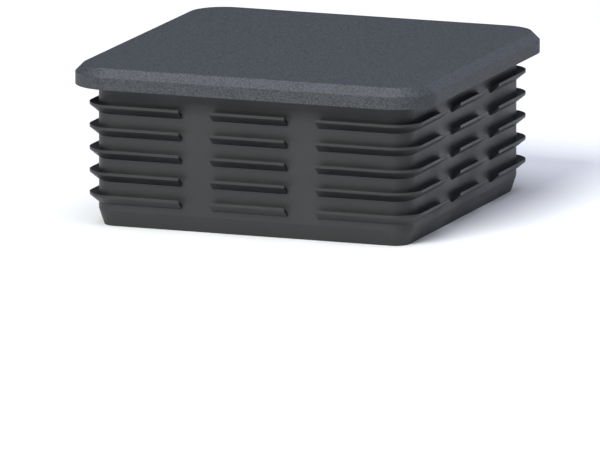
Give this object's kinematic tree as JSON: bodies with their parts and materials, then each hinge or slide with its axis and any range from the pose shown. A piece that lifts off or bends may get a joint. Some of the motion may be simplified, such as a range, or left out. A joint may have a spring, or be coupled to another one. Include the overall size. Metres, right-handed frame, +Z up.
{
  "type": "fence post cap",
  "caption": "Flat square post cap with rounded corners and a chamfered top edge, screwed to a finned plastic insert that pushes into a hollow square post.",
  "frame": {"origin": "centre of the seat plane, where the gasket rests on the post's end", "axes": "+Z up along the post's centre line, X and Y square to the cap's four sides"},
  "size_m": [0.07, 0.07, 0.03],
  "materials": {
    "powder_coat": "fine-textured matt anthracite powder coat on cast aluminium",
    "gasket_rubber": "matt black EPDM",
    "insert_plastic": "black moulded nylon with a fine spark-eroded texture",
    "screw_steel": "plain stainless steel, slightly brushed",
    "washer_steel": "stamped stainless steel"
  },
  "bodies": {
    "root": {"cap_cover": "powder_coat", "gasket": "gasket_rubber", "post_insert": "insert_plastic", "screw_1": "screw_steel", "screw_2": "screw_steel", "screw_3": "screw_steel", "screw_4": "screw_steel", "washer_1": "washer_steel", "washer_2": "washer_steel", "washer_3": "washer_steel", "washer_4": "washer_steel"}
  },
  "joints": []
}
